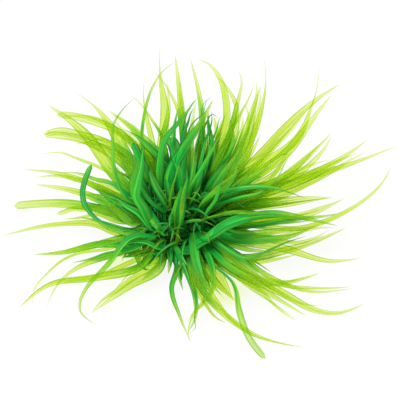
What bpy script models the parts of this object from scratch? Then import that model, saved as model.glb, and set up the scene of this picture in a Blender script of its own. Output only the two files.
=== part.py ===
"""A sprawling clump of a narrow-leaved water plant, as it is sold from tissue culture.

Seven short shoots grow from one crown. The main shoot stands on its flat cut foot, and six side shoots
leave it just above the floor and turn upwards. Every leaf is a long narrow blade that starts on the
side of a shoot, arches outwards and ends in a point. The outer leaves lie down on the floor.

Leaves are placed as they are seen from the front, at SEEN_TILT above the floor: each point of a leaf is
so far to the right of the crown, so far up the picture, and so high above the floor. Lengths are in
millimetres here and in metres in the finished solids.
"""

import math
from typing import NamedTuple

import bmesh
import bpy
import numpy as np

MM = 0.001
UPRIGHT = np.array([0.0, 0.0, 1.0])
NEARLY_UPRIGHT = 0.02
EDGE_ANGLE = math.radians(50)

# Overall sizes: leftmost to rightmost leaf tip, and floor to the highest point that a leaf passes
PLANT_SPREAD = 118.5
PLANT_HEIGHT = 42.0
SEEN_TILT = math.radians(45)

# Clearance between a leaf's seat and its shoot, and between a side shoot and the main foot
GAP = 0.3

# Shoots
MAIN_FOOT_RADIUS = 2.2
MAIN_RADIUS = 1.6
MAIN_FOOT_HEIGHT = 3.0
MAIN_TOP = 15.0
SIDE_START_RADIUS = 0.95
SIDE_RADIUS = 1.6
SIDE_START_HEIGHT = 1.35
SIDE_UPRIGHT_FROM = 4.5
FULL_RADIUS_AFTER = 2.5
SWELLING = 0.08
SWELLING_SPACING = 3.6
CREST_SHARE = 0.5
SHOOT_SIDES = 10
SHOOT_RINGS = 9
LOW_RING_CROWDING = 1.5

# Leaves
LEAF_THICKNESS = 0.5
LEAF_FOLD = 0.12
LEAF_BASE_SHARE = 0.5
LEAF_WIDEST_AT = 0.35
LEAF_TAPER_POWER = 2.4
LEAF_POINT_POWER = 0.85
STATION_SPACING = 3.1
FEWEST_STATIONS = 9
LEAVING_ANGLE_AT_FLOOR = 35.0
LEAVING_ANGLE_PER_MM = 2.5
FINE_STEPS = 24
STEADYING = 0.25


class Shoot(NamedTuple):
    right: float
    back: float
    top: float


class Leaf(NamedTuple):
    seat: float
    width: float
    points: tuple
    roll: float = 0.0


# Shoot(to the right, to the back, height of its top), from the middle of the main shoot's foot
SIDE_SHOOTS = {
    "right": Shoot(7.5, 0.5, 13.0),
    "back_right": Shoot(4.5, 7.0, 14.0),
    "back_left": Shoot(-4.0, 7.0, 14.0),
    "left": Shoot(-8.0, 1.0, 13.0),
    "front_left": Shoot(-4.0, -5.5, 12.0),
    "front_right": Shoot(4.0, -5.5, 12.0),
}

# Leaf(height of its seat on the shoot, widest width, ((right, up the picture, height), ..., tip), roll)
LEAVES = {
    "main": (
        Leaf(11.0, 1.9, ((1.5, 22.5, 22), (0.5, 38, 33), (-1.5, 56, 38))),
        Leaf(13.0, 2.4, ((-3, 20, 26), (1, 27.5, 33), (4.5, 32.5, 37), (10, 42.5, 38))),
        Leaf(11.0, 2.6, ((9.5, 9.5, 17), (17.5, 16, 23), (31.5, 26, 27.5), (40.5, 37.5, 29),
                         (45.5, 44, 27))),
        Leaf(14.0, 1.5, ((16.5, 15.5, 27), (27, 16, 30), (38, 12.5, 28))),
    ),
    "right": (
        Leaf(9.2, 1.8, ((13, 18, 17), (17.5, 27.5, 23), (22, 40, 28), (24.5, 47, 27))),
        Leaf(12.6, 1.5, ((15, 19.5, 25), (20.5, 28.5, 30), (25.5, 45, 34), (25, 56.5, 33))),
        Leaf(11.2, 2.1, ((15, 17.5, 19), (24.5, 23, 29.5), (34, 29.5, 34.5), (39.5, 40.5, 36),
                         (42, 53, 34))),
        Leaf(9.6, 2.2, ((16.5, 12.5, 17), (29.5, 18, 26), (39, 26, 29), (45.5, 32.5, 28))),
        Leaf(7.2, 2.4, ((18, 12, 10), (36, 18, 14), (48, 24.5, 15), (56.5, 30.5, 12))),
        Leaf(8.2, 1.8, ((18, 10.5, 13), (33, 17, 18), (51, 23, 19), (65, 28.5, 15))),
        Leaf(4.8, 2.4, ((15, 8.5, 10), (31.5, 12, 12), (46, 13, 9))),
        Leaf(6.5, 1.3, ((21, 4.5, 9), (37, 4, 12), (51, 9.5, 14), (59, 15.5, 14), (63.5, 22.5, 12))),
        Leaf(9.0, 2.1, ((14, 6, 14), (28.5, 8, 17), (36, 7, 17), (47.5, 4.5, 13))),
    ),
    "back_right": (
        Leaf(9.5, 1.5, ((6, 22.5, 20), (6.5, 38, 30), (3, 55, 36))),
        Leaf(11.5, 1.8, ((10, 24, 22), (14, 36.5, 32), (13, 46, 36), (8, 53.5, 34), (5, 54.5, 31))),
        Leaf(12.8, 1.5, ((10.5, 22.5, 27), (14.5, 31.5, 36), (17, 38.5, 40), (14, 46, 42), (10, 50, 41))),
        Leaf(7.0, 1.5, ((12, 22.5, 18), (17, 40.5, 28), (18.5, 48, 29), (17.5, 51.5, 28))),
        Leaf(5.0, 2.4, ((16.5, 17.5, 14), (25.5, 27, 18), (38.5, 40.5, 19), (48.5, 47.5, 16))),
        Leaf(4.3, 2.2, ((6.5, 17, 5), (9.5, 25, 0.3))),
    ),
    "back_left": (
        Leaf(12.0, 2.2, ((-6, 22.5, 22), (-4.5, 38, 34), (-6, 50, 37), (-6, 59.5, 36))),
        Leaf(7.2, 1.3, ((-8, 28, 22), (-11, 43.5, 26), (-10.5, 50.5, 25))),
        Leaf(8.8, 1.8, ((-17.5, 32, 27), (-30, 37, 28), (-37, 38, 25))),
        Leaf(5.2, 1.9, ((-12, 17, 11), (-19.5, 25, 13), (-28.5, 30, 14), (-41, 32, 11))),
        Leaf(4.3, 2.2, ((-6, 17, 5), (-9, 24.5, 0.3))),
    ),
    "left": (
        Leaf(12.0, 2.7, ((-16.5, 26.5, 22), (-23, 37.5, 25), (-32, 45, 22))),
        Leaf(10.2, 2.7, ((-18.5, 18.5, 16), (-28.5, 32, 18), (-40, 41, 13))),
        Leaf(6.4, 1.4, ((-21, 14.5, 9), (-35.5, 20, 10), (-47.5, 21.5, 7))),
        Leaf(8.2, 1.9, ((-16.5, 9, 9), (-28.5, 14, 9), (-44, 17, 4))),
        Leaf(5.0, 2.1, ((-15, 7, 6), (-33, 11, 5.5), (-50, 10.5, 1.5))),
        Leaf(4.3, 1.5, ((-18, 2, 5.5), (-25.5, 5, 5), (-36, 5, 4), (-53.5, 1.5, 1))),
        Leaf(9.0, 1.6, ((-8, 20, 22), (-12, 31, 31), (-22, 39.5, 33))),
        Leaf(11.0, 1.8, ((-6, 22, 28), (-4.5, 30, 36), (0.5, 36.5, 40), (5, 42.5, 41))),
    ),
    "front_left": (
        Leaf(9.0, 1.6, ((-18, 3.5, 13), (-26, 7.5, 13), (-28.5, 11, 15), (-26.5, 23, 20))),
        Leaf(5.0, 1.9, ((-13.5, -1, 6), (-24, -1, 4), (-35.5, -3.5, 2), (-44, -4, 0.6))),
        Leaf(6.0, 1.9, ((-12.5, -8, 6), (-25.5, -11, 3.5), (-39, -13, 1.8), (-48, -20, 0.5))),
        Leaf(7.5, 1.3, ((-17.5, -3.5, 7), (-31.5, -8.5, 5), (-36.5, -13, 5), (-40, -20, 0.5))),
        Leaf(9.6, 1.3, ((-8, 1.5, 14), (-14, 1.5, 16), (-21.5, -7, 11), (-29, -16, 5), (-30, -20, 3),
                        (-25, -25, 0.5))),
        Leaf(4.3, 2.2, ((-6, -8, 4), (-15, -13.5, 3), (-26.5, -21.5, 0.5))),
        Leaf(5.0, 1.2, ((-1, -7, 4.5), (-2.5, -14.5, 3), (0, -22.5, 1.5), (3.5, -30.5, 0.4))),
        Leaf(7.5, 1.5, ((1.5, -8, 7.5), (4.5, -16.5, 4), (4.5, -23, 3), (2, -27.5, 3))),
        Leaf(9.0, 2.4, ((-0.5, 5, 15), (1, 13, 22), (2.5, 19.5, 27))),
        Leaf(11.6, 2.2, ((-4.5, 2, 13), (-9.5, 8.5, 18), (-14, 15, 23), (-12.5, 23.5, 28.5),
                         (-11.5, 32, 33))),
    ),
    "front_right": (
        Leaf(10.0, 2.2, ((18, 0.5, 12), (31.5, 1, 13), (39.5, 4, 10))),
        Leaf(7.0, 2.1, ((15, 0, 8), (30, -2, 9), (45, -6, 4), (54.5, -5, 1.5))),
        Leaf(4.8, 1.9, ((18, -5, 3), (33, -2.5, 5), (50, 4, 2.5))),
        Leaf(8.3, 1.3, ((16.5, -3.5, 7), (26.5, -10.5, 7), (36, -14.5, 4), (52, -14, 0.5))),
        Leaf(6.4, 2.2, ((12, -6, 7), (31.5, -16, 5), (40, -20.5, 2.5), (45, -21.5, 1.5),
                        (55.5, -18.5, 0.5))),
        Leaf(4.3, 1.8, ((13.5, -8, 3), (24.5, -14.5, 3), (38, -22.5, 0.5))),
        Leaf(8.6, 1.8, ((10, -7, 10), (15.5, -12, 8), (18, -22, 6), (20.5, -28.5, 3.5), (25.5, -35, 0.5))),
        Leaf(5.0, 2.3, ((7, -8, 5), (12, -13.5, 4), (17.5, -18.5, 2))),
        Leaf(4.3, 1.6, ((5, -11, 2.5), (13.5, -22, 1.8), (22.5, -28, 1.2), (36.5, -31.5, 0.4))),
        Leaf(11.4, 2.5, ((8.5, 1, 16), (14, 4.5, 20), (19.5, 6.5, 21), (29.5, 7.5, 20))),
    ),
}

LEAF_POINTS = [point for leaves in LEAVES.values() for leaf in leaves for point in leaf.points]
SPREAD_SCALE = PLANT_SPREAD / (max(p[0] for p in LEAF_POINTS) - min(p[0] for p in LEAF_POINTS))
HEIGHT_SCALE = PLANT_HEIGHT / max(p[2] for p in LEAF_POINTS)

SHOOT_COLOUR = (0.30, 0.52, 0.10, 1)
HIGH_LEAF_COLOUR = (0.36, 0.62, 0.06, 1)
LOW_LEAF_COLOUR = (0.13, 0.42, 0.05, 1)
PALE_ABOVE = 0.85
LEAF_ROUGHNESS = 0.38
SHOOT_ROUGHNESS = 0.5


def clear_scene():
    """An empty scene to build in."""
    for old in list(bpy.data.objects):
        bpy.data.objects.remove(old, do_unlink=True)


def plain_material(name, colour, roughness):
    """One even colour with a set roughness."""
    material = bpy.data.materials.new(name)
    material.use_nodes = True
    shader = material.node_tree.nodes["Principled BSDF"]
    shader.inputs["Base Color"].default_value = colour
    shader.inputs["Roughness"].default_value = roughness
    shader.inputs["Metallic"].default_value = 0.0
    return material


def solid_from_rings(name, rings, tip, material):
    """One closed body: rings of corners joined side to side, a flat cap first and a tip or a cap last."""
    shape = bmesh.new()
    loops = [[shape.verts.new(corner * MM) for corner in ring] for ring in rings]
    for lower, upper in zip(loops, loops[1:]):
        for i in range(len(lower)):
            j = (i + 1) % len(lower)
            shape.faces.new((lower[i], lower[j], upper[j], upper[i]))
    shape.faces.new(loops[0][::-1])
    last = loops[-1]
    if tip is None:
        shape.faces.new(last)
    else:
        point = shape.verts.new(tip * MM)
        for i in range(len(last)):
            shape.faces.new((last[i], last[(i + 1) % len(last)], point))
    bmesh.ops.recalc_face_normals(shape, faces=shape.faces[:])
    mesh = bpy.data.meshes.new(name)
    shape.to_mesh(mesh)
    shape.free()
    mesh.materials.append(material)
    mesh.shade_smooth()
    mesh.set_sharp_from_angle(angle=EDGE_ANGLE)
    bpy.context.collection.objects.link(bpy.data.objects.new(name, mesh))


def unit(vectors):
    """The same directions with a length of one."""
    return vectors / np.linalg.norm(vectors, axis=-1, keepdims=True)


# Shoots


def shoot_radius(name, height):
    """A cut foot under the main shoot, a thin start to a side one, and a ripple where the leaf bases sat."""
    if name == "main":
        lowest, radii = MAIN_FOOT_HEIGHT, (MAIN_FOOT_RADIUS, MAIN_RADIUS)
    else:
        lowest, radii = SIDE_START_HEIGHT, (SIDE_START_RADIUS, SIDE_RADIUS)
    full = lowest + FULL_RADIUS_AFTER
    ripple = 1 + SWELLING * np.sin(2 * np.pi * max(height - full, 0) / SWELLING_SPACING)
    return np.interp(height, (lowest, full), radii) * ripple


def axis_at(name, height):
    """Middle of a shoot at a height: a side shoot leaves the crown low down and is upright further up."""
    if name == "main":
        return np.array([0.0, 0.0, height])
    shoot = SIDE_SHOOTS[name]
    stand = np.array([shoot.right, shoot.back]) * SPREAD_SCALE
    start = unit(stand) * (MAIN_FOOT_RADIUS + GAP)
    rise = np.clip((height - SIDE_START_HEIGHT) / (SIDE_UPRIGHT_FROM - SIDE_START_HEIGHT), 0, 1)
    across = start + (stand - start) * (1 - (1 - rise) ** 2)
    return np.array([across[0], across[1], height])


def round_ring(centre, direction, radius):
    """Corners of a round section square to a direction."""
    level = np.cross(direction, UPRIGHT)
    sideways = unit(level) if np.linalg.norm(level) > NEARLY_UPRIGHT else np.array([1.0, 0.0, 0.0])
    upwards = np.cross(sideways, direction)
    turns = 2 * np.pi * np.arange(SHOOT_SIDES) / SHOOT_SIDES
    return centre + radius * (np.outer(np.cos(turns), sideways) + np.outer(np.sin(turns), upwards))


def build_shoot(name, bottom, top, first_direction):
    """Round sections up the shoot's axis and a smaller one over its top."""
    heights = bottom + (top - bottom) * np.linspace(0, 1, SHOOT_RINGS) ** LOW_RING_CROWDING
    middles = np.array([axis_at(name, height) for height in heights])
    directions = unit(np.gradient(middles, axis=0))
    directions[0] = first_direction
    radii = [shoot_radius(name, height) for height in heights]
    rings = [round_ring(*section) for section in zip(middles, directions, radii)]
    crest = radii[-1] * CREST_SHARE
    rings.append(round_ring(middles[-1] + UPRIGHT * crest, UPRIGHT, crest))
    green = plain_material(f"{name}_shoot_green", SHOOT_COLOUR, SHOOT_ROUGHNESS)
    solid_from_rings(f"{name}_shoot", rings, None, green)


def build_main_shoot():
    """It stands on the floor on its flat cut foot."""
    build_shoot("main", 0.0, MAIN_TOP, UPRIGHT)


def build_side_shoot(name, shoot):
    """Its first section is upright and faces the main foot, a gap away."""
    build_shoot(name, SIDE_START_HEIGHT, shoot.top, unit(np.array([shoot.right, shoot.back, 0.0])))


# Leaves


def real_place(point):
    """Real place of a point given as (right, up the picture, height)."""
    right, up, height = point
    back = (up - height * math.cos(SEEN_TILT)) / math.sin(SEEN_TILT)
    return np.array([right * SPREAD_SCALE, back * SPREAD_SCALE, height * HEIGHT_SCALE])


def smooth_path(knots, leaving):
    """A smooth curve through the knots that starts off in a given direction, as a row of fine points.

    Each span is a cubic. Its slope at a knot lies between those of the two chords there, and it runs
    straight out at its end."""
    spans = np.linalg.norm(np.diff(knots, axis=0), axis=1)
    chords = np.diff(knots, axis=0) / spans[:, None]
    before, after = spans[:-1, None], spans[1:, None]
    slopes = np.empty_like(knots)
    slopes[0] = leaving
    slopes[1:-1] = (chords[:-1] * after + chords[1:] * before) / (before + after)
    slopes[-1] = 1.5 * chords[-1] - 0.5 * slopes[-2]
    t = np.linspace(0, 1, FINE_STEPS, endpoint=False)[:, None]
    ease = 3 * t**2 - 2 * t**3
    stretches = [
        knots[i] * (1 - ease) + knots[i + 1] * ease
        + span * (slopes[i] * (t**3 - 2 * t**2 + t) + slopes[i + 1] * (t**3 - t**2))
        for i, span in enumerate(spans)
    ]
    return np.vstack([*stretches, knots[-1:]])


def evenly_spaced(path, count):
    """Points at equal steps along a path, its two ends among them."""
    steps = np.concatenate([[0], np.cumsum(np.linalg.norm(np.diff(path, axis=0), axis=1))])
    wanted = np.linspace(0, steps[-1], count)
    return np.column_stack([np.interp(wanted, steps, path[:, k]) for k in range(3)])


def leaf_midline(shoot_name, leaf):
    """Middle of the blade from its seat on the shoot to its tip."""
    through = [real_place(p) for p in leaf.points]
    middle = axis_at(shoot_name, leaf.seat)
    towards = through[0][:2] - middle[:2]
    outward = np.append(unit(towards), 0.0)
    seat = middle + outward * (shoot_radius(shoot_name, leaf.seat) + GAP + LEAF_THICKNESS / 2)
    steepness = math.radians(LEAVING_ANGLE_AT_FLOOR + LEAVING_ANGLE_PER_MM * leaf.seat)
    leaving = outward * math.cos(steepness) + np.array([0, 0, math.sin(steepness)])
    path = smooth_path(np.array([seat, *through]), leaving)
    length = np.linalg.norm(np.diff(path, axis=0), axis=1).sum()
    count = max(FEWEST_STATIONS, round(length / STATION_SPACING) + 1)
    return evenly_spaced(path, count)


def blade_directions(midline, roll):
    """Directions across the blade and out of its upper face at every station; roll turns the tip."""
    along = unit(np.gradient(midline, axis=0))
    reach = along.copy()
    reach[:, 2] = 0
    overall = midline[-1] - midline[0]
    overall[2] = 0
    reach += STEADYING * unit(overall)
    across = np.cross(reach, UPRIGHT)
    across = unit(across - along * (across * along).sum(axis=1, keepdims=True))
    face = np.cross(across, along)
    turn = np.radians(roll) * np.linspace(0, 1, len(midline))[:, None]
    return across * np.cos(turn) + face * np.sin(turn), face * np.cos(turn) - across * np.sin(turn)


def leaf_widths(count, widest):
    """Narrowed at the seat, widest a third of the way along, then drawn out to a long point."""
    share = np.linspace(0, 1, count)
    opening = np.sin(np.pi / 2 * np.minimum(share / LEAF_WIDEST_AT, 1))
    swell = LEAF_BASE_SHARE + (1 - LEAF_BASE_SHARE) * opening
    return widest * swell * (1 - share**LEAF_TAPER_POWER) ** LEAF_POINT_POWER


def leaf_colour(midline):
    """Leaves low in the clump are darker than those that arch high."""
    share = min(midline[:, 2].max() / (PLANT_HEIGHT * PALE_ABOVE), 1.0)
    return tuple(low + (high - low) * share for low, high in zip(LOW_LEAF_COLOUR, HIGH_LEAF_COLOUR))


def build_leaf(name, shoot_name, leaf):
    """A blade with a four-cornered section: two thin edges, a ridge below and a shallow channel above."""
    midline = leaf_midline(shoot_name, leaf)
    across, face = blade_directions(midline, leaf.roll)
    half = leaf_widths(len(midline), leaf.width)[:, None] / 2
    thick = LEAF_THICKNESS / 2 * np.sqrt(half * 2 / leaf.width)
    lift = face * half * LEAF_FOLD
    corners = (midline + across * half + lift, midline + face * thick,
               midline - across * half + lift, midline - face * thick)
    rings = np.stack(corners, axis=1)[:-1]
    green = plain_material(f"{name}_green", leaf_colour(midline), LEAF_ROUGHNESS)
    solid_from_rings(name, rings, midline[-1], green)


def build_plant():
    """Every shoot, then the leaves of each."""
    build_main_shoot()
    for name, shoot in SIDE_SHOOTS.items():
        build_side_shoot(name, shoot)
    for shoot_name, leaves in LEAVES.items():
        for number, leaf in enumerate(leaves, start=1):
            build_leaf(f"{shoot_name}_leaf_{number}", shoot_name, leaf)


if __name__ == "__main__":
    clear_scene()
    build_plant()
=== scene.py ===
"""Dresses the clump: every packed leaf becomes a smooth thin blade with veins, and more leaves fill it out.

Lengths in the tables are in millimetres. A place in a table is given as it is seen from the front, at
SEEN_TILT above the floor: so far to the right of the origin and so far up the picture.
"""

import math
import typing

import bpy
import numpy as np
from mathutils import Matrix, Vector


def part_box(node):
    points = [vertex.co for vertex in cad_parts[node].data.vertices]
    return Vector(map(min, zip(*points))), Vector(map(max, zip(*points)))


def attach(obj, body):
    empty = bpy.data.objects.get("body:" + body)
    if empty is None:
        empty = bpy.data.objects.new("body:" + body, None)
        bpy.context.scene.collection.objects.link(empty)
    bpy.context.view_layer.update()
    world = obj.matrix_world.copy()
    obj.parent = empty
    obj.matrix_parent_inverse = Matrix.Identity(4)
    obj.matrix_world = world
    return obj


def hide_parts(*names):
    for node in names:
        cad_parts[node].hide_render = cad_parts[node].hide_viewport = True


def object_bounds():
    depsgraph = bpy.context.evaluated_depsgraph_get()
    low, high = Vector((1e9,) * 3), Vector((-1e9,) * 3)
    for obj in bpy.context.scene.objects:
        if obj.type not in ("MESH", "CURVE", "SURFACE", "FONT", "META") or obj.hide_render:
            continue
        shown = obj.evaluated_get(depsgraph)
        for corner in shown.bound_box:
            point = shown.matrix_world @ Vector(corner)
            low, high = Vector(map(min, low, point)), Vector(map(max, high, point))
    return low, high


bl_info = {
    "name": "Water plant clump",
    "version": (1, 0, 0),
    "blender": (4, 5, 0),
    "location": "View3D > Sidebar > Clump",
    "description": "Builds the blades, the extra leaves and the stage of a narrow-leaved water plant",
    "category": "Object",
}

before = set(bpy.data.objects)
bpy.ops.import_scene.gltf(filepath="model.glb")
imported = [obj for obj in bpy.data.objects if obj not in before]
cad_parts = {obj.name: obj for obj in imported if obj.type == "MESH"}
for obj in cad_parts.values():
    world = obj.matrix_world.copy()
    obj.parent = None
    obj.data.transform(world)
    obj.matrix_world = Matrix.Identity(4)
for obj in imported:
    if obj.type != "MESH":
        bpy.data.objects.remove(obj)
SOLID_BOX = [list(corner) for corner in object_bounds()]
BOX_LOW, BOX_HIGH = np.array(SOLID_BOX)

MM = 0.001
UPRIGHT = np.array([0.0, 0.0, 1.0])
WHITE = (1, 1, 1, 1)
SEEN_TILT = math.radians(45)

# Middle of the crown for the greens, where heights count SQUAT times, and the places on the floor where
# a pool of painted light stands for the light that falls through the leaves
CROWN = (2 * MM, 1 * MM, 3 * MM)
SQUAT = 0.62
PAINTED_LIGHT_SPOTS = ((-16 * MM, -8 * MM, 0), (13 * MM, -21 * MM, 0))

# A course has FINE_STEPS in each span before it is evened out, and at least FEWEST_STEPS after that.
# The course of a free leaf stays INSIDE_BOX from the sides of the solids' box.
FINE_STEPS = 16
FEWEST_STEPS = 8
INSIDE_BOX = 0.3 * MM

# A blade's overall direction steadies its face. It turns to the front over the first TURNED_BY of its
# length, and the wrap of its base fades over WRAP_FADE. One radian of its ruffle takes RUFFLE_RUN.
STEADYING = 0.25
TURNED_BY = 0.3
WRAP_FADE = 0.07
KEEL_CURVE, KEEL_SINK = 1.4, 0.45
RUFFLE_RUN = 3.1 * MM
LEAST_HALF = 0.02 * MM
ANY_PHASE = (0, 6.3)

# Spread of the roll towards the tip, in degrees
BLADE_ROLL, DRAWN_ROLL, INNER_ROLL = 9, 12, 20

# The blade of a packed leaf starts SET_BACK in its shoot, any other at SEAT_DEPTH of the shoot's radius.
# A drawn leaf leaves it outwards and up, and its arch is a share of its run and a height.
BLADE_SEED = 3
SET_BACK = 0.9 * MM
WHISKER_FINENESS = 0.8
SEAT_DEPTH = 0.7
LEAVING_OUT, LEAVING_UP = 0.75, 0.66
ARCH_SHARE, ARCH_HEIGHT = 0.11, 1.5 * MM

# Inner leaves go round the shoot by the golden angle and up it from LOWEST_SEAT, with UNSEATED of its
# height left free. All but every third one are thin; the others are a millimetre narrower at the top.
# Widths are in millimetres and angles in degrees.
GOLDEN_ANGLE = 2.39996
LOWEST_SEAT, UNSEATED = 2.5 * MM, 3.5 * MM
THIN_LENGTH, THIN_STEEPER = 1.9, 16
THIN_WIDTH, BROAD_WIDTH = 0.85, 2.4
LOWEST_POINT = 0.8 * MM

# Middle of the picture: its place as in the tables, and its height above the floor
AIM_RIGHT, AIM_UP, AIM_HEIGHT = 6 * MM, 12.3 * MM, 10 * MM


class Traced(typing.NamedTuple):
    """A drawn leaf: where it sits on its shoot, its width, how high its tip is, and its course, as the
    places of its points to the right and up, in turn."""

    seat: float
    width: float
    tip_height: float
    seen: tuple
    tone: float = 0.0
    blunt: bool = False


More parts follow.
